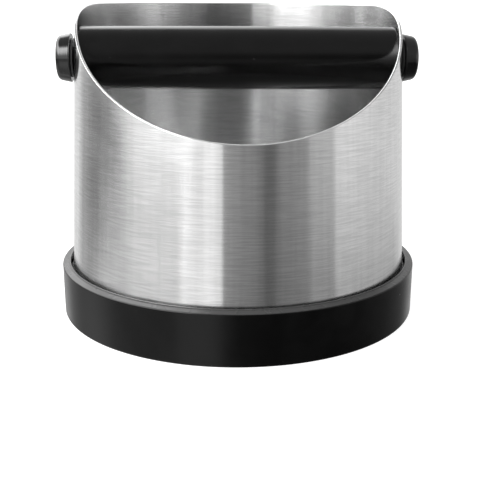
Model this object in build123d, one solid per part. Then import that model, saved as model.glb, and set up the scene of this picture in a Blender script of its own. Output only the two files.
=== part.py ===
from build123d import *
import os
from math import atan2, radians, tan

# Espresso knock box: a brushed steel bin with a scooped front rim stands in a
# rubber boot, and a rubber-sleeved bar crosses it between two screwed knobs.
# The origin is the centre of the boot's underside. +Z is up, the bar lies
# along X, and the low front of the rim faces -Y. All sizes are millimetres.

# ---- bin ----
bin_height = 111.7  # back rim above the table
wall_radius_mid = 60.0  # outside of the wall at mid height
wall_mid_height = 70.0
wall_lean = 0.039  # the radius grows by this much for each millimetre further down
sheet = 1.0  # thickness of the wall

skirt_radius = 62.7  # outside of the wider foot, just below the boot's top
skirt_top = 16.6  # where the foot turns in to the wall
skirt_shoulder = 0.5  # height of the turn
shoulder_bend = 0.25
flare_bend = 0.4

rim_slope_degrees = 33.0  # fall of the scooped rim towards the front
rim_cut_height = 109.2  # height of the sloping cut on the bin's axis
rim_corner_radius = 70.0  # side-view round between the level rim and the scoop
cutter_reach = 90.0  # the scoop's cutter passes right through the wall
cutter_margin = 20.0

# ---- floor pan ----
pan_sheet = 0.8
pan_height = 9.0
pan_corner = 3.0
fit_gap = 0.05  # between pieces that are fitted together

# ---- rubber boot ----
boot_floor = 2.5
boot_foot_radius = 65.7
boot_lip_radius = 66.0
boot_lip_height = 18.0
boot_inner_height = 18.55  # the top face falls from here to the lip
boot_bore_radius = 63.1
boot_foot_round = 0.9
boot_lip_round = 0.5
bead_width = 0.55  # thin raised bead beside the bore
bead_height = 0.3

# ---- knock bar ----
bar_height = 92.5  # bar axis above the table
sleeve_radius = 11.5
sleeve_end_radius = 11.35  # the sleeve is slightly fuller at its middle
sleeve_end_round = 0.35
bar_half_length = 56.8
core_radius = 6.0
core_bore = 4.5
insert_length = 14.0
thread_radius = 3.0  # M6

# ---- wall bushes ----
bush_radius = 4.0
bush_bore = 3.05
bush_flange_radius = 6.5
bush_flange = 0.65
bush_inner_end = 57.0
bush_outer_end = 59.45
wall_hole_radius = bush_radius + fit_gap
hole_reach = 80.0  # the drill passes both walls

# ---- knobs and studs ----
washer_radius = 7.0
washer_thickness = 0.75
washer_inner_face = 59.5
knob_inner_face = 60.3
knob_thickness = 5.2
knob_inner_radius = 8.85
knob_outer_radius = 7.8
knob_outer_round = 2.0
knob_inner_round = 0.35
stud_radius = 2.97
stud_tip = 43.8
stud_head_radius = 4.5
stud_head_inner_face = 61.9
stud_head_outer_face = 63.7
stud_point = 0.6  # chamfer on the stud's tip


def wall_radius(height):
    """Outside radius of the leaning wall at a height."""
    return wall_radius_mid - wall_lean * (height - wall_mid_height)


def ring_of(points, radii):
    """Solid of revolution about Z from an outline of (radius, height) points."""
    outline = FilletPolyline(*points, radius=radii, close=True)
    return revolve(Plane.XZ * make_face(outline), axis=Axis.Z)


def along_bar(start, length, radius):
    """Cylinder on the bar's axis, from x = start towards +X."""
    place = Plane(origin=(start, 0, bar_height), z_dir=(1, 0, 0))
    return place * Cylinder(radius, length, align=(Align.CENTER, Align.CENTER, Align.MIN))


def turned_on_bar(points, radii):
    """Solid turned about the bar's axis from (distance along X, radius) points."""
    outline = FilletPolyline(*points, radius=radii, close=True)
    turned = revolve(make_face(outline), axis=Axis.X)
    return Pos(0, 0, bar_height) * turned


def mirrored(shape):
    """The left-hand copy of a right-hand piece."""
    return mirror(shape, about=Plane.YZ)


def scoop_cutter():
    """Everything above the rim: level at the back, sloping down to the front."""
    slope = tan(radians(rim_slope_degrees))
    corner_y = (bin_height - rim_cut_height) / slope
    level_y = corner_y + rim_corner_radius * tan(radians(rim_slope_degrees / 2))
    above = bin_height + cutter_margin
    outline = FilletPolyline(
        (-cutter_reach, rim_cut_height - slope * cutter_reach),
        (corner_y, bin_height),
        (level_y + cutter_margin, bin_height),
        (level_y + cutter_margin, above),
        (-cutter_reach, above),
        radius=[0, rim_corner_radius, 0, 0, 0],
        close=True,
    )
    return extrude(Plane.YZ * make_face(outline), amount=cutter_reach, both=True)


def body_shell():
    """Leaning wall with the wider foot, the scooped rim and the two bar holes."""
    shoulder = skirt_top + skirt_shoulder
    turn = atan2(skirt_radius - wall_radius(shoulder), skirt_shoulder)
    drop = sheet * tan(turn / 2)  # keeps the sheet's thickness through the shoulder
    outline = [
        (skirt_radius, boot_floor),
        (skirt_radius, skirt_top),
        (wall_radius(shoulder), shoulder),
        (wall_radius(bin_height), bin_height),
        (wall_radius(bin_height) - sheet, bin_height),
        (wall_radius(shoulder) - sheet, shoulder - drop),
        (skirt_radius - sheet, skirt_top - drop),
        (skirt_radius - sheet, boot_floor),
    ]
    bends = [0, shoulder_bend, flare_bend, 0, 0, flare_bend, shoulder_bend, 0]
    shell = ring_of(outline, bends) - scoop_cutter()
    return shell - along_bar(-hole_reach, 2 * hole_reach, wall_hole_radius)


def floor_pan():
    """Pressed floor with a turned-up edge, welded inside the foot of the wall."""
    outer = skirt_radius - sheet - fit_gap
    top = boot_floor + pan_height
    outline = [
        (0, boot_floor),
        (outer, boot_floor),
        (outer, top),
        (outer - pan_sheet, top),
        (outer - pan_sheet, boot_floor + pan_sheet),
        (0, boot_floor + pan_sheet),
    ]
    return ring_of(outline, [0, pan_corner, 0, 0, pan_corner - pan_sheet, 0])


def base_boot():
    """Rubber cup with a sloping top face and a thin bead beside its bore."""
    bead_outer = boot_bore_radius + bead_width
    outline = [
        (0, 0),
        (boot_foot_radius, 0),
        (boot_lip_radius, boot_lip_height),
        (bead_outer, boot_inner_height),
        (bead_outer, boot_inner_height + bead_height),
        (boot_bore_radius, boot_inner_height + bead_height),
        (boot_bore_radius, boot_floor),
        (0, boot_floor),
    ]
    rounds = [0, boot_foot_round, boot_lip_round, 0, bead_height / 2, bead_height / 2, 0, 0]
    return ring_of(outline, rounds)


def bar_sleeve():
    """Thick rubber tube, slightly fuller at its middle, with rounded ends."""
    crown = ThreePointArc(
        (-bar_half_length, sleeve_end_radius),
        (0, sleeve_radius),
        (bar_half_length, sleeve_end_radius),
    )
    sides = Polyline(
        (bar_half_length, sleeve_end_radius),
        (bar_half_length, core_radius + fit_gap),
        (-bar_half_length, core_radius + fit_gap),
        (-bar_half_length, sleeve_end_radius),
    )
    section = make_face([crown, sides])
    corners = section.vertices().sort_by(Axis.Y)[-2:]
    section = fillet(corners, radius=sleeve_end_round)
    return Pos(0, 0, bar_height) * revolve(section, axis=Axis.X)


def bar_core():
    """Steel tube that carries the sleeve."""
    start = -bar_half_length
    full = 2 * bar_half_length
    return along_bar(start, full, core_radius) - along_bar(start, full, core_bore)


def core_insert():
    """Tapped plug in the right-hand end of the core."""
    start = bar_half_length - insert_length
    plug = along_bar(start, insert_length, core_bore - fit_gap)
    return plug - along_bar(start, insert_length, thread_radius)


def wall_bush():
    """Flanged nylon bush in the right-hand wall hole, its flange inside the bin."""
    outline = [
        (bush_inner_end, bush_bore),
        (bush_inner_end, bush_flange_radius),
        (bush_inner_end + bush_flange, bush_flange_radius),
        (bush_inner_end + bush_flange, bush_radius),
        (bush_outer_end, bush_radius),
        (bush_outer_end, bush_bore),
    ]
    return turned_on_bar(outline, [0, 0.3, 0.2, 0, 0.2, 0])


def knob_washer():
    """Washer between the right-hand wall bush and the knob."""
    outer_face = washer_inner_face + washer_thickness
    outline = [
        (washer_inner_face, bush_bore),
        (washer_inner_face, washer_radius),
        (outer_face, washer_radius),
        (outer_face, bush_bore),
    ]
    return turned_on_bar(outline, [0, 0.15, 0.15, 0])


def stud_solid(clearance=0.0):
    """Right-hand stud with its moulded-in head, or its cavity with a clearance."""
    head = stud_head_radius + clearance
    shank = stud_radius + clearance
    tip = stud_tip - clearance
    outline = [
        (tip, 0),
        (tip, shank - stud_point),
        (tip + stud_point, shank),
        (stud_head_inner_face - clearance, shank),
        (stud_head_inner_face - clearance, head),
        (stud_head_outer_face + clearance, head),
        (stud_head_outer_face + clearance, 0),
    ]
    return turned_on_bar(outline, [0] * len(outline))


def knob():
    """Right-hand knob: a tapered disc moulded round the head of its stud."""
    outer_face = knob_inner_face + knob_thickness
    outline = [
        (knob_inner_face, 0),
        (knob_inner_face, knob_inner_radius),
        (outer_face, knob_outer_radius),
        (outer_face, 0),
    ]
    disc = turned_on_bar(outline, [0, knob_inner_round, knob_outer_round, 0])
    return disc - stud_solid(fit_gap)


def write(node, shape):
    """Write one node as its own STEP file."""
    export_step(shape, f"parts/{node}.step")


os.makedirs("parts", exist_ok=True)

write("base_boot", base_boot())
write("body_shell", body_shell())
write("floor_pan", floor_pan())
write("bar_core", bar_core())
write("bar_sleeve", bar_sleeve())

paired = {
    "core_insert": core_insert,
    "wall_bush": wall_bush,
    "washer": knob_washer,
    "knob": knob,
    "knob_stud": stud_solid,
}
for name, make in paired.items():
    right_piece = make()
    write(f"right_{name}", right_piece)
    write(f"left_{name}", mirrored(right_piece))
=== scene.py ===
from math import atan2, cos, pi, radians, sin, sqrt, tan

import bmesh
import bpy
from mathutils import Matrix, Vector


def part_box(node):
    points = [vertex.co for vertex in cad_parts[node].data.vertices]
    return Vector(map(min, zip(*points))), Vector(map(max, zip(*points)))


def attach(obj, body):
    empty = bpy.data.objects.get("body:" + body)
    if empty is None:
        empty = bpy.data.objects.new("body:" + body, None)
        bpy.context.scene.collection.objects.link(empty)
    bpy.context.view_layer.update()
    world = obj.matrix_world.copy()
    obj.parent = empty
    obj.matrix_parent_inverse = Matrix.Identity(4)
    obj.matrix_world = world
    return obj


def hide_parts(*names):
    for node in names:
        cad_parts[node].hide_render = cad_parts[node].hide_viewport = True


# Espresso knock box: the detailed pieces, the materials, the studio and the camera. All of it
# is in metres, in the CAD model's frame: +Z is up, the bar lies along X, and the low front of
# the rim faces -Y.

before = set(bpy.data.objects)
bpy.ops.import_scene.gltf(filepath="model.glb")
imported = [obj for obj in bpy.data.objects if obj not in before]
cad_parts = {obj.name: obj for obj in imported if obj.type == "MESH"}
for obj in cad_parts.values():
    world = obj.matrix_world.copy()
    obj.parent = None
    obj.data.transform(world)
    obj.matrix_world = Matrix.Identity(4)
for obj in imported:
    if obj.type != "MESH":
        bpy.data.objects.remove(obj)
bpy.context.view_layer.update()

MM = 0.001

# ---- sizes from the CAD boxes, in metres ----
shell_low, shell_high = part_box("body_shell")
sleeve_low, sleeve_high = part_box("bar_sleeve")
boot_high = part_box("base_boot")[1]
rim_height = shell_high.z
bar_height = (sleeve_low.z + sleeve_high.z) / 2

# ---- sizes that the CAD boxes don't give, in metres ----
SHEET = 1.0 * MM  # thickness of the wall
WALL_LEAN = 0.039  # growth of the wall's radius for each metre further down
WALL_MID_RADIUS = 60.0 * MM  # outside of the wall at mid height
WALL_MID_HEIGHT = 70.0 * MM
SKIRT_TOP = 16.6 * MM  # where the foot turns in to the wall
SHOULDER_TOP = 17.1 * MM
SKIRT_BEND = 0.25 * MM
SHOULDER_BEND = 0.4 * MM
RIM_ANGLE = radians(33.0)  # fall of the scooped rim towards the front
RIM_CUT_HEIGHT = 109.2 * MM  # height of the sloping cut on the bin's axis
RIM_CORNER = 70.0 * MM  # side-view round between the level rim and the scoop
OUTER_EDGE_ROUND = 0.3 * MM  # deburred edges of the rim
INNER_EDGE_ROUND = 0.5 * MM
LONG_STRETCH = 20.0 * MM  # longer straight stretches of the wall's section get rows of their own
HOLE_RADIUS = 4.05 * MM
DRILL_LENGTH = 160.0 * MM  # passes both walls

BOOT_BORE = 63.1 * MM
BOOT_INNER_HEIGHT = 18.55 * MM
BOOT_LIP_HEIGHT = 18.0 * MM
BOOT_TAPER = 0.3 * MM  # the boot's foot is this much narrower than its lip
BOOT_FOOT_ROUND = 0.9 * MM
BOOT_LIP_ROUND = 0.5 * MM
BORE_FLOOR_ROUND = 0.4 * MM
BEAD_WIDTH = 0.55 * MM
BEAD_ROUND = 0.13 * MM
BEAD_ROOT_ROUND = 0.08 * MM

SLEEVE_BORE = 6.05 * MM
SLEEVE_CROWN = 0.15 * MM  # the sleeve is fuller at its middle than at its ends
SLEEVE_END_ROUND = 0.35 * MM
SOFT_END_GAP = 0.08 * MM  # left to the wall where the sleeve's end comes closest to it
SOFT_END_BORE = 7.0 * MM  # the end is recessed inside this radius, for the bush's flange
SOFT_END_STEP = 0.1 * MM  # the recess widens by this much towards the wall

KNOB_CORNER = 8.85 * MM  # radius of the knob's inner edge before rounding
KNOB_TAPER = 1.05 * MM
KNOB_INNER_ROUND = 0.35 * MM
KNOB_OUTER_ROUND = 2.0 * MM
KNOB_CROWN = 0.2 * MM  # the face is this much fuller at its middle
KNOB_CROWN_ROUND = 3.0 * MM
KNOB_LEVEL_PART = 0.45  # the share of the face's radius inside the crown's slope
STUD_HOLE_RADIUS = 3.02 * MM
STUD_HOLE_DEPTH = 3.0 * MM
STUD_HOLE_ROUND = 0.2 * MM

PITCH = 1.0 * MM  # M6 thread
THREAD_CREST = 2.97 * MM
THREAD_ROOT = 2.5 * MM
STUD_POINT = 0.3 * MM  # chamfer on the stud's tip
STUD_POINT_LENGTH = 0.5 * MM
THREAD_END = 61.0 * MM  # from the bin's axis
STUD_HEAD_FACE = 61.9 * MM
STUD_HEAD_RADIUS = 4.5 * MM

SHARP_ANGLE = radians(40.0)  # edges that turn by more stay sharp


# ---------------------------------------------------------------- mesh tools

def rounded(corners, steps=5):
    """Open outline through (a, b, radius) corners, each corner replaced by an arc."""
    points = []
    last = len(corners) - 1
    for i, (a, b, radius) in enumerate(corners):
        corner = Vector((a, b))
        if radius <= 0 or i in (0, last):
            points.append(corner)
            continue
        before = (Vector(corners[i - 1][:2]) - corner).normalized()
        after = (Vector(corners[i + 1][:2]) - corner).normalized()
        half = before.angle(after) / 2
        middle = (before + after).normalized()
        centre = corner + middle * (radius / sin(half))
        start = corner + before * (radius / tan(half)) - centre
        end = corner + after * (radius / tan(half)) - centre
        for k in range(steps + 1):
            points.append(centre + radius * start.slerp(end, k / steps))
    return points


def new_object(name, bm):
    """Object from a bmesh, smooth shaded, with real edges kept sharp."""
    bmesh.ops.recalc_face_normals(bm, faces=bm.faces)
    mesh = bpy.data.meshes.new(name)
    bm.to_mesh(mesh)
    bm.free()
    mesh.shade_smooth()
    mesh.set_sharp_from_angle(angle=SHARP_ANGLE)
    piece = bpy.data.objects.new(name, mesh)
    bpy.context.scene.collection.objects.link(piece)
    return piece


def apply_modifiers(piece):
    """Give a piece the mesh that its modifiers make, and drop the modifiers."""
    depsgraph = bpy.context.evaluated_depsgraph_get()
    made = bpy.data.meshes.new_from_object(piece.evaluated_get(depsgraph))
    piece.modifiers.clear()
    old = piece.data
    piece.data = made
    bpy.data.meshes.remove(old)


def weight_normals(piece):
    """Normals that follow the large faces, so that small rounds don't shade them."""
    modifier = piece.modifiers.new("weighted", "WEIGHTED_NORMAL")
    modifier.mode = "FACE_AREA_WITH_ANGLE"
    modifier.weight = 100
    modifier.keep_sharp = True
    apply_modifiers(piece)


def skin(bm, rings, closed_loop):
    """Quads between rings of vertices. Equal vertices make triangles at a pole."""
    count = len(rings)
    for i in range(count if closed_loop else count - 1):
        one, two = rings[i], rings[(i + 1) % count]
        size = len(one)
        for k in range(size):
            corners = [one[k], one[(k + 1) % size], two[(k + 1) % size], two[k]]
            unique = list(dict.fromkeys(corners))
            if len(unique) > 2:
                bm.faces.new(unique)


def turned(name, outline, place, segments, closed_loop=False):
    """Surface of revolution. Outline points are (along the axis, radius); place maps
    (along, across, across) to the frame. A radius of 0 is a pole."""
    bm = bmesh.new()
    rings = []
    for along, radius in outline:
        if radius <= 0:
            pole = bm.verts.new(place(along, 0.0, 0.0))
            rings.append([pole] * segments)
            continue
        ring = []
        for k in range(segments):
            angle = 2 * pi * k / segments
            ring.append(bm.verts.new(place(along, radius * cos(angle), radius * sin(angle))))
        rings.append(ring)
    skin(bm, rings, closed_loop)
    piece = new_object(name, bm)
    weight_normals(piece)
    return piece


def upright(along, across, other):
    """Place for pieces turned about the bin's axis."""
    return (across, other, along)


def on_bar(along, across, other):
    """Place for pieces turned about the bar's axis."""
    return (along, across, bar_height + other)


# ---------------------------------------------------------------- pieces

def wall_radius(height):
    """Outside radius of the leaning wall."""
    return WALL_MID_RADIUS - WALL_LEAN * (height - WALL_MID_HEIGHT)


def cut_height(y):
    """Height of the scooped rim: level, round, then falling towards the front."""
    slope = tan(RIM_ANGLE)
    corner_y = (rim_height - RIM_CUT_HEIGHT) / slope
    tangent = RIM_CORNER * tan(RIM_ANGLE / 2)
    level_y = corner_y + tangent
    if y >= level_y:
        return rim_height
    if y <= corner_y - tangent * cos(RIM_ANGLE):
        return RIM_CUT_HEIGHT + slope * y
    return rim_height - RIM_CORNER + sqrt(RIM_CORNER ** 2 - (y - level_y) ** 2)


def rim_point(azimuth, inset):
    """Radius and height where the cut meets the wall's outside, or its inside."""
    height = rim_height
    # the wall leans, so radius and height depend on each other and are found in a few rounds
    for _ in range(12):
        radius = wall_radius(height) - inset
        height = cut_height(-radius * cos(azimuth))
    return wall_radius(height) - inset, height


def shell_section(azimuth):
    """Closed section of the wall at one azimuth, as (radius, height) points."""
    foot_radius = shell_high.x
    foot = shell_low.z
    outer_radius, outer_height = rim_point(azimuth, 0.0)
    inner_radius, inner_height = rim_point(azimuth, SHEET)
    shoulder = wall_radius(SHOULDER_TOP)
    drop = SHEET * tan(atan2(foot_radius - shoulder, SHOULDER_TOP - SKIRT_TOP) / 2)
    outline = rounded([
        (foot_radius, foot, 0),
        (foot_radius, SKIRT_TOP, SKIRT_BEND),
        (shoulder, SHOULDER_TOP, SHOULDER_BEND),
        (outer_radius, outer_height, OUTER_EDGE_ROUND),
        (inner_radius, inner_height, INNER_EDGE_ROUND),
        (shoulder - SHEET, SHOULDER_TOP - drop, SHOULDER_BEND),
        (foot_radius - SHEET, SKIRT_TOP - drop, SKIRT_BEND),
        (foot_radius - SHEET, foot, 0),
    ])
    rows = 22
    section = []
    for one, two in zip(outline, outline[1:]):
        section.append(one)
        if (two - one).length > LONG_STRETCH:
            section += [one.lerp(two, k / rows) for k in range(1, rows)]
    section.append(outline[-1])
    return section


def body_shell():
    """The wall: leaning, scooped, with deburred edges and the two bar holes."""
    segments = 384
    bm = bmesh.new()
    columns = []
    for k in range(segments):
        azimuth = 2 * pi * k / segments
        columns.append([
            bm.verts.new((radius * sin(azimuth), -radius * cos(azimuth), height))
            for radius, height in shell_section(azimuth)
        ])
    skin(bm, columns, closed_loop=True)
    shell = new_object("steel_body", bm)

    drill = bmesh.new()
    bmesh.ops.create_cone(
        drill, cap_ends=True, segments=64, radius1=HOLE_RADIUS, radius2=HOLE_RADIUS, depth=DRILL_LENGTH,
        matrix=Matrix.Translation((0, 0, bar_height)) @ Matrix.Rotation(pi / 2, 4, "Y"),
    )
    drill_piece = new_object("drill", drill)
    cut = shell.modifiers.new("bar_holes", "BOOLEAN")
    cut.object = drill_piece
    cut.solver = "EXACT"
    apply_modifiers(shell)
    bpy.data.objects.remove(drill_piece)
    shell.data.set_sharp_from_angle(angle=SHARP_ANGLE)
    weight_normals(shell)
    return shell


def base_boot():
    """Rubber cup with a sloping top face and a thin bead beside the bore."""
    lip_radius = boot_high.x
    floor_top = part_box("floor_pan")[0].z
    bead_outer = BOOT_BORE + BEAD_WIDTH
    bead_top = boot_high.z
    outline = rounded([
        (0, 0, 0),
        (0, lip_radius - BOOT_TAPER, BOOT_FOOT_ROUND),
        (BOOT_LIP_HEIGHT, lip_radius, BOOT_LIP_ROUND),
        (BOOT_INNER_HEIGHT, bead_outer, BEAD_ROOT_ROUND),
        (bead_top, bead_outer, BEAD_ROUND),
        (bead_top, BOOT_BORE, BEAD_ROUND),
        (floor_top, BOOT_BORE, BORE_FLOOR_ROUND),
        (floor_top, 0, 0),
    ])
    return turned("rubber_boot", outline, upright, segments=320)


def bar_sleeve():
    """Thick rubber tube, slightly fuller at its middle, its ends close to the wall."""
    half = sleeve_high.x
    full_radius = sleeve_high.z - bar_height
    end_radius = full_radius - SLEEVE_CROWN
    inside = wall_radius(bar_height) - SHEET
    reach = sqrt(inside ** 2 - end_radius ** 2) - SOFT_END_GAP
    end_rows = [
        (half, SLEEVE_BORE, 0),
        (half, SOFT_END_BORE, 0),
        (reach, SOFT_END_BORE + SOFT_END_STEP, 0),
        (reach, end_radius, SLEEVE_END_ROUND),
    ]
    corners = [(-along, radius, bend) for along, radius, bend in end_rows]
    rows = 48
    for k in range(1, rows):
        share = 2 * k / rows - 1
        corners.append((half * share, full_radius - SLEEVE_CROWN * share ** 2, 0))
    corners += reversed(end_rows)
    return turned("rubber_sleeve", rounded(corners, 8), on_bar, segments=160, closed_loop=True)


def faces_along_bar(node):
    """Distances from the bin's axis to a node's inner and outer face, at one end of the bar."""
    low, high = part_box(node)
    return sorted((abs(low.x), abs(high.x)))


def turned_at_end(side, name, outline, segments):
    """Piece at the left or right end of the bar, from the outline of the right one."""
    outward = 1 if side == "right" else -1
    points = [(outward * along, radius) for along, radius in outline]
    return turned(f"{side}_{name}", points, on_bar, segments)


def knob(side):
    """Tapered disc with a crowned face, a rounded outer edge and its stud's hole."""
    inner_face, outer_face = faces_along_bar(f"{side}_knob")
    outer_radius = KNOB_CORNER - KNOB_TAPER
    hole_end = inner_face + STUD_HOLE_DEPTH
    outline = rounded([
        (hole_end, 0, 0),
        (hole_end, STUD_HOLE_RADIUS, 0),
        (inner_face, STUD_HOLE_RADIUS, STUD_HOLE_ROUND),
        (inner_face, KNOB_CORNER, KNOB_INNER_ROUND),
        (outer_face - KNOB_CROWN, outer_radius, KNOB_OUTER_ROUND),
        (outer_face, outer_radius * KNOB_LEVEL_PART, KNOB_CROWN_ROUND),
        (outer_face, 0, 0),
    ], 8)
    return turned_at_end(side, "screw_knob", outline, segments=128)


def stud(side):
    """Threaded stud: rolled ridges one pitch apart, with a chamfered point."""
    tip, head = faces_along_bar(f"{side}_knob_stud")
    # one ridge, as (share of a pitch, radius)
    ridge = [(0.0, THREAD_ROOT), (0.42, THREAD_CREST), (0.55, THREAD_CREST), (0.97, THREAD_ROOT)]
    outline = [(tip, 0), (tip, THREAD_ROOT - STUD_POINT), (tip + STUD_POINT_LENGTH, THREAD_ROOT)]
    for k in range(int((THREAD_END - tip) / PITCH) - 1):
        start = tip + (k + 0.75) * PITCH
        outline += [(start + share * PITCH, radius) for share, radius in ridge]
    outline += [
        (THREAD_END, THREAD_ROOT),
        (STUD_HEAD_FACE, THREAD_ROOT),
        (STUD_HEAD_FACE, STUD_HEAD_RADIUS),
        (head, STUD_HEAD_RADIUS),
        (head, 0),
    ]
    return turned_at_end(side, "threaded_stud", outline, segments=48)


# ---------------------------------------------------------------- materials

class Nodes:
    """Short names for the shader nodes that the materials and the studio share."""

    def __init__(self, tree):
        self.tree = tree
        tree.nodes.clear()

    def add(self, kind, **properties):
        """A new node with its properties set. Its inputs are set by the caller."""
        node = self.tree.nodes.new(kind)
        for name, value in properties.items():
            setattr(node, name, value)
        return node

    def link(self, source, target):
        self.tree.links.new(source, target)

    def feed(self, socket, value):
        """Link an output, or set a plain value."""
        if isinstance(value, bpy.types.NodeSocket):
            self.link(value, socket)
        else:
            socket.default_value = value

    def math(self, operation, *values):
        node = self.add("ShaderNodeMath", operation=operation)
        for socket, value in zip(node.inputs, values):
            self.feed(socket, value)
        return node.outputs[0]

    def mix(self, factor, one, two):
        """Blend of two numbers."""
        node = self.add("ShaderNodeMix", data_type="FLOAT")
        self.feed(node.inputs[0], factor)
        self.feed(node.inputs[2], one)
        self.feed(node.inputs[3], two)
        return node.outputs[0]

    def ease(self, value, start, end, low=0.0, high=1.0):
        """Smooth step from low to high as value goes from start to end."""
        node = self.add("ShaderNodeMapRange", interpolation_type="SMOOTHSTEP")
        self.feed(node.inputs["Value"], value)
        node.inputs["From Min"].default_value = start
        node.inputs["From Max"].default_value = end
        node.inputs["To Min"].default_value = low
        node.inputs["To Max"].default_value = high
        return node.outputs[0]

    def spread(self, noise, low, high):
        """Low to high as a noise goes over its usual range."""
        return self.ease(noise, 0.3, 0.7, low, high)

    def noise(self, vector, scale, detail=3.0, roughness=0.5):
        """Fractal noise with about scale features in each unit of the vector."""
        node = self.add("ShaderNodeTexNoise")
        self.link(vector, node.inputs["Vector"])
        node.inputs["Scale"].default_value = scale
        node.inputs["Detail"].default_value = detail
        node.inputs["Roughness"].default_value = roughness
        return node.outputs["Fac"]

    def stretched(self, scale=(1.0, 1.0, 1.0)):
        """Object coordinates, in metres, scaled by its own amount along each axis."""
        coordinates = self.add("ShaderNodeTexCoord")
        mapping = self.add("ShaderNodeMapping")
        mapping.inputs["Scale"].default_value = scale
        self.link(coordinates.outputs["Object"], mapping.inputs["Vector"])
        return mapping.outputs["Vector"]

    def split(self, vector):
        """The x, y and z of a vector."""
        node = self.add("ShaderNodeSeparateXYZ")
        self.link(vector, node.inputs[0])
        return node.outputs

    def grey(self, value):
        """Colour with the same red, green and blue."""
        node = self.add("ShaderNodeCombineColor")
        for socket in node.inputs:
            self.link(value, socket)
        return node.outputs[0]

    def bump(self, height, strength, distance):
        """Normals of a surface raised by distance, in metres, where the height is 1."""
        node = self.add("ShaderNodeBump")
        self.link(height, node.inputs["Height"])
        node.inputs["Strength"].default_value = strength
        node.inputs["Distance"].default_value = distance
        return node.outputs["Normal"]


def material(name):
    """A node material with a Principled shader still to be set: (material, nodes, shader)."""
    made = bpy.data.materials.new(name)
    made.use_nodes = True
    nodes = Nodes(made.node_tree)
    shader = nodes.add("ShaderNodeBsdfPrincipled")
    output = nodes.add("ShaderNodeOutputMaterial")
    nodes.link(shader.outputs[0], output.inputs[0])
    return made, nodes, shader


def inside_wall(nodes):
    """1 on the wall's inside, 0 on its outside, with the wall's lean taken out of the radius."""
    x, y, z = nodes.split(nodes.stretched())
    squares = nodes.math("ADD", nodes.math("MULTIPLY", x, x), nodes.math("MULTIPLY", y, y))
    upright_radius = nodes.math("ADD", nodes.math("SQRT", squares), nodes.math("MULTIPLY", z, WALL_LEAN))
    return nodes.math("LESS_THAN", upright_radius, wall_radius(0.0) - SHEET / 2)


def drawn_noise(nodes, axis, round_axis, along_axis, detail=2.0, roughness=0.5):
    """Noise with one scale round an axis, Z or X, and another along it."""
    if axis == "Z":
        scale = (round_axis, round_axis, along_axis)
    else:
        scale = (along_axis, round_axis, round_axis)
    return nodes.noise(nodes.stretched(scale), 1.0, detail, roughness)


def brushed_steel(name, tone, grain_axis="Z", roughness=0.17, anisotropy=1.0, rougher_inside=0.0):
    """Stainless sheet brushed round an axis: fine scratches and streaks round it, ripples
    along it, and smudges."""
    made, nodes, shader = material(name)
    scratches = drawn_noise(nodes, grain_axis, 110.0, 2600.0, detail=4.0, roughness=0.6)
    streaks = drawn_noise(nodes, grain_axis, 25.0, 420.0)
    ripples = drawn_noise(nodes, grain_axis, 620.0, 5.0)
    smudges = nodes.noise(nodes.stretched(), 38.0)
    shade = tone
    for marks, depth in ((scratches, 0.075), (ripples, 0.025), (streaks, 0.004)):
        shade = nodes.math("ADD", shade, nodes.spread(marks, -depth, depth))
    nodes.link(nodes.grey(shade), shader.inputs["Base Color"])
    shader.inputs["Metallic"].default_value = 1.0
    worn = nodes.ease(smudges, 0.35, 0.7, roughness - 0.015, roughness + 0.02)
    if rougher_inside > 0:
        worn = nodes.math("ADD", worn, nodes.math("MULTIPLY", inside_wall(nodes), rougher_inside))
    nodes.link(worn, shader.inputs["Roughness"])
    shader.inputs["Anisotropic"].default_value = anisotropy
    shader.inputs["Anisotropic Rotation"].default_value = 0.25
    tangent = nodes.add("ShaderNodeTangent", direction_type="RADIAL", axis=grain_axis)
    nodes.link(tangent.outputs[0], shader.inputs["Tangent"])
    nodes.link(nodes.bump(scratches, 0.08, 0.02 * MM), shader.inputs["Normal"])
    return made


def rubber(name, tone, roughness, grain, ior=1.5, satin_and_painted_light_above=None):
    """Moulded rubber: a slightly uneven skin with fine dust and shallow dimples. Above
    the given height the skin is less glossy, and its colour is painted lighter as painted light on the
    upward top face."""
    made, nodes, shader = material(name)
    shader.inputs["IOR"].default_value = ior
    space = nodes.stretched()
    dimples = nodes.noise(space, 1400.0)
    waves = nodes.noise(space, 130.0, detail=2.0)
    dust = nodes.noise(space, 520.0, detail=2.0)
    specks = nodes.ease(dust, 0.76, 0.82, 0.0, 0.12)
    shade = nodes.math("ADD", nodes.spread(waves, tone * 0.8, tone * 1.3), specks)
    rough = nodes.math("ADD", nodes.spread(waves, roughness * 0.9, roughness * 1.15), specks)
    if satin_and_painted_light_above is not None:
        height = nodes.split(space)[2]
        satin_and_painted_light = nodes.ease(height, satin_and_painted_light_above - 0.2 * MM, satin_and_painted_light_above + 0.1 * MM)
        # painted light: the top face's colour is raised to stand for the light that falls on it; the
        # roughness rise is its satin finish
        shade = nodes.math("ADD", shade, nodes.math("MULTIPLY", satin_and_painted_light, 0.05))
        rough = nodes.math("ADD", rough, nodes.math("MULTIPLY", satin_and_painted_light, 0.08))
    nodes.link(nodes.grey(shade), shader.inputs["Base Color"])
    nodes.link(rough, shader.inputs["Roughness"])
    relief = nodes.math("ADD", nodes.math("MULTIPLY", waves, 2.0), nodes.math("MULTIPLY", dimples, grain))
    nodes.link(nodes.bump(relief, 0.35, 0.04 * MM), shader.inputs["Normal"])
    return made


def turned_plastic(name, tone, roughness):
    """Gloss plastic with the fine rings that a lathe-cut mould leaves round the bar's axis."""
    made, nodes, shader = material(name)
    rings = drawn_noise(nodes, "X", 14.0, 3600.0, detail=3.0, roughness=0.6)
    wear = nodes.noise(nodes.stretched(), 500.0, detail=4.0)
    shade = nodes.ease(wear, 0.45, 0.8, tone, tone * 2.2)
    nodes.link(nodes.grey(shade), shader.inputs["Base Color"])
    nodes.link(nodes.spread(rings, roughness * 0.8, roughness * 1.25), shader.inputs["Roughness"])
    shader.inputs["IOR"].default_value = 1.56
    nodes.link(nodes.bump(rings, 0.5, 0.04 * MM), shader.inputs["Normal"])
    return made


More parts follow.
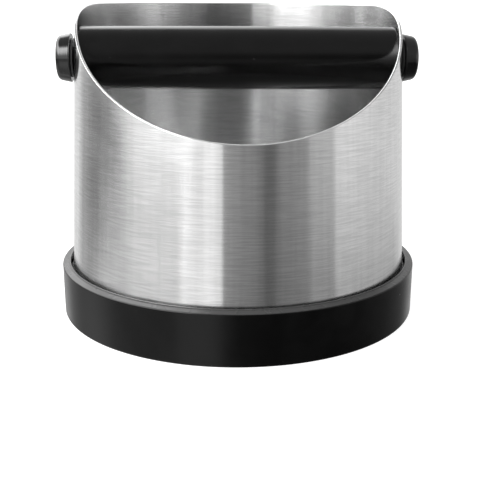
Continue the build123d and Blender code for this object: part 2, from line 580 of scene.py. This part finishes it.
def machined_metal(name, colour, roughness):
    """Small metal part with fine tool rings round the bar's axis."""
    made, nodes, shader = material(name)
    rings = drawn_noise(nodes, "X", 40.0, 2600.0, detail=3.0, roughness=0.6)
    shade = nodes.add("ShaderNodeMix", data_type="RGBA")
    nodes.link(rings, shade.inputs[0])
    shade.inputs[6].default_value = [0.8 * c for c in colour] + [1]
    shade.inputs[7].default_value = [min(1.0, 1.15 * c) for c in colour] + [1]
    nodes.link(shade.outputs[2], shader.inputs["Base Color"])
    shader.inputs["Metallic"].default_value = 1.0
    nodes.link(nodes.spread(rings, roughness * 0.8, roughness * 1.3), shader.inputs["Roughness"])
    nodes.link(nodes.bump(rings, 0.4, 0.03 * MM), shader.inputs["Normal"])
    return made


def nylon(name, tone):
    """Satin moulded nylon."""
    made, nodes, shader = material(name)
    grain = nodes.noise(nodes.stretched(), 1800.0)
    nodes.link(nodes.grey(nodes.spread(grain, tone * 0.8, tone * 1.3)), shader.inputs["Base Color"])
    nodes.link(nodes.spread(grain, 0.32, 0.45), shader.inputs["Roughness"])
    nodes.link(nodes.bump(grain, 0.3, 0.03 * MM), shader.inputs["Normal"])
    return made


def paint(piece, finish):
    """One material for the whole piece."""
    piece.data.materials.clear()
    piece.data.materials.append(finish)


def dress(piece, body, finish, node):
    """Material, body and slot of a new piece, and the CAD node that it stands for."""
    paint(piece, finish)
    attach(piece, body)
    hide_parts(node)


def repaint(node, finish):
    """A better material on a CAD node that stays."""
    paint(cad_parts[node], finish)


steel = brushed_steel("brushed_body", 0.80, rougher_inside=0.03)
pan_steel = brushed_steel("pan_steel", 0.62, roughness=0.3, anisotropy=0.6)
core_steel = brushed_steel("core_steel", 0.55, grain_axis="X", roughness=0.3, anisotropy=0.6)
# the boot's top face above its lip gets painted light and a satin finish
boot_rubber = rubber("boot_rubber", 0.0015, 0.20, 0.5, ior=1.33, satin_and_painted_light_above=BOOT_LIP_HEIGHT)
sleeve_rubber = rubber("sleeve_rubber", 0.001, 0.18, 0.3, ior=1.4)
knob_plastic = turned_plastic("knob_plastic", 0.0015, 0.12)
insert_brass = machined_metal("insert_brass", (0.72, 0.55, 0.28), 0.3)
stud_steel = machined_metal("stud_steel", (0.62, 0.62, 0.60), 0.25)
bush_nylon = nylon("bush_nylon", 0.02)
washer_nylon = nylon("washer_nylon", 0.03)

dress(body_shell(), "bin", steel, "body_shell")
dress(base_boot(), "boot", boot_rubber, "base_boot")
dress(bar_sleeve(), "bar", sleeve_rubber, "bar_sleeve")
repaint("floor_pan", pan_steel)
repaint("bar_core", core_steel)
for side in ("left", "right"):
    dress(knob(side), f"{side}_knob", knob_plastic, f"{side}_knob")
    dress(stud(side), f"{side}_knob", stud_steel, f"{side}_knob_stud")
    repaint(f"{side}_core_insert", insert_brass)
    repaint(f"{side}_wall_bush", bush_nylon)
    repaint(f"{side}_washer", washer_nylon)


# ---------------------------------------------------------------- studio

# Radiance of the studio round the object, as (azimuth, radiance) at four elevations.
# Azimuth is in degrees, 0 towards the camera and growing to its right. There is a bright
# tent at the left, brightest high up, a dark gap round the camera and a dimmer tent at
# the right.
BELOW = [
    (-180, 0.90), (-146, 0.90), (-138, 0.60), (-122, 0.60), (-112, 1.00), (-104, 1.20), (-94, 1.10),
    (-88, 0.75), (-60, 0.75), (-43, 0.80), (-40, 1.30), (-24, 1.35), (-14, 1.20), (-13.4, 0.24),
    (0, 0.18), (14, 0.10), (43, 0.10), (62, 0.10), (90, 0.14), (130, 0.28), (150, 0.80),
]
LOW = [
    (-180, 1.00), (-146, 1.00), (-136, 0.50), (-112, 0.10), (-92, 0.08), (-89, 0.16), (-84, 0.34),
    (-79, 0.38), (-76, 0.52), (-56, 0.62), (-43, 0.62), (-40, 0.86), (-37, 0.94), (-34, 0.72),
    (-27, 0.70), (-24, 1.00), (-19.5, 1.04), (-17.5, 0.80), (-14, 0.76), (-13.4, 0.46), (-5, 0.44),
    (0, 0.38), (7, 0.40), (12, 0.30), (15, 0.17), (20.5, 0.20), (23, 0.34), (42.5, 0.40), (46, 0.60),
    (61.5, 0.58), (65, 1.00), (132, 0.88),
]
LEVEL = [
    (-180, 1.00), (-150, 0.90), (-136, 1.10), (-120, 0.80), (-100, 0.95), (-90, 1.30), (-84, 1.60),
    (-60, 1.80), (-43, 1.80), (-40, 2.10), (-30, 2.10), (-20, 2.10), (-13.9, 1.80), (-13.4, 0.50),
    (0, 0.25), (14, 0.12), (22, 0.18), (26, 0.35), (43, 0.55), (46, 1.00), (62, 1.20), (66, 1.60),
    (85, 1.30), (110, 0.90), (150, 1.00),
]
UPPER = [
    (-180, 3.50), (-166, 4.50), (-150, 3.50), (-120, 4.00), (-105, 7.00), (-80, 9.00), (-62, 11.0),
    (-50, 12.5), (-36, 12.5), (-30, 2.00), (-14, 0.50), (-13.4, 0.50), (20, 0.60), (35, 0.60),
    (100, 0.50), (150, 0.90), (165, 2.00), (174, 2.70),
]
TOP = 0.55  # radiance overhead
STUDIO_LEVEL = 0.8  # scales every radiance above

# each band takes over from the one below it between two elevations, in degrees
BANDS = [(LOW, -20, -10), (LEVEL, -5, 3), (UPPER, 8, 28)]
TOP_START, TOP_FULL = 42, 54


def band(nodes, azimuth, table):
    """Radiance by azimuth, from the rows of one table, the first of which is at -180."""
    ramp = nodes.add("ShaderNodeValToRGB")
    stops = ramp.color_ramp.elements
    stops.remove(stops[1])
    brightest = max(radiance for _, radiance in table)
    for degrees, radiance in table:
        stop = stops[0] if degrees == -180 else stops.new((degrees + 180) / 360)
        stop.color = [radiance / brightest] * 3 + [1]
    nodes.link(nodes.math("ADD", nodes.math("DIVIDE", azimuth, 360.0), 0.5), ramp.inputs[0])
    return nodes.math("MULTIPLY", ramp.outputs[0], brightest)


def studio():
    """World light: four bands of tent and gap by azimuth, blended by elevation."""
    world = bpy.data.worlds.new("studio")
    bpy.context.scene.world = world
    world.use_nodes = True
    nodes = Nodes(world.node_tree)
    x, y, z = nodes.split(nodes.add("ShaderNodeTexCoord").outputs["Generated"])
    azimuth = nodes.math("MULTIPLY", nodes.math("ARCTAN2", x, nodes.math("MULTIPLY", y, -1.0)), 180 / pi)
    elevation = nodes.math("MULTIPLY", nodes.math("ARCSINE", z), 180 / pi)

    light = band(nodes, azimuth, BELOW)
    for table, start, full in BANDS:
        light = nodes.mix(nodes.ease(elevation, start, full), light, band(nodes, azimuth, table))
    light = nodes.mix(nodes.ease(elevation, TOP_START, TOP_FULL), light, TOP)

    # the camera itself sees plain white behind the object
    seen = nodes.add("ShaderNodeLightPath").outputs["Is Camera Ray"]
    strength = nodes.mix(seen, nodes.math("MULTIPLY", light, STUDIO_LEVEL), 1.0)
    background = nodes.add("ShaderNodeBackground")
    background.inputs["Color"].default_value = (1.0, 1.0, 1.0, 1.0)
    nodes.link(strength, background.inputs["Strength"])
    output = nodes.add("ShaderNodeOutputWorld")
    nodes.link(background.outputs[0], output.inputs[0])


def floor():
    """Pale table top, partly glowing so that it stays white under the object's soft shadow."""
    half = 30.0  # metres, so that its edge is close to the horizon
    mesh = bpy.data.meshes.new("floor")
    corners = [(-half, -half, 0), (half, -half, 0), (half, half, 0), (-half, half, 0)]
    mesh.from_pydata(corners, [], [(0, 1, 2, 3)])
    table = bpy.data.objects.new("floor", mesh)
    bpy.context.scene.collection.objects.link(table)
    table.visible_glossy = False  # the steel mirrors the studio's lower bands instead
    made = bpy.data.materials.new("floor")
    made.use_nodes = True
    nodes = Nodes(made.node_tree)
    paper = nodes.add("ShaderNodeBsdfDiffuse")
    paper.inputs["Color"].default_value = (0.45, 0.45, 0.45, 1)
    glow = nodes.add("ShaderNodeEmission")
    glow.inputs["Strength"].default_value = 0.9
    both = nodes.add("ShaderNodeAddShader")
    nodes.link(paper.outputs[0], both.inputs[0])
    nodes.link(glow.outputs[0], both.inputs[1])
    output = nodes.add("ShaderNodeOutputMaterial")
    nodes.link(both.outputs[0], output.inputs[0])
    mesh.materials.append(made)


def camera():
    """Product view from slightly above and a little to the left of the front."""
    distance = 320.5 * MM
    height = 115.3 * MM
    bearing = radians(-2.97)  # where the camera stands, round the bin's axis
    heading = radians(-4.27)  # where it looks, as seen from above
    pitch = radians(12.27)
    roll = radians(0.355)
    forward = Vector((-sin(heading) * cos(pitch), cos(heading) * cos(pitch), -sin(pitch)))
    right = forward.cross(Vector((0, 0, 1))).normalized()
    up = right.cross(forward)
    turned_right = cos(roll) * right + sin(roll) * up
    turned_up = -sin(roll) * right + cos(roll) * up
    data = bpy.data.cameras.new("camera")
    data.sensor_width = 36
    data.lens = 63.87
    data.shift_x = -0.0276
    data.shift_y = -0.1207
    viewer = bpy.data.objects.new("camera", data)
    bpy.context.scene.collection.objects.link(viewer)
    axes = Matrix((turned_right, turned_up, -forward)).transposed().to_4x4()
    place = Vector((sin(bearing) * distance, -cos(bearing) * distance, height))
    viewer.matrix_world = Matrix.Translation(place) @ axes
    bpy.context.scene.camera = viewer


studio()
floor()
camera()
bpy.context.scene.view_settings.view_transform = "Standard"
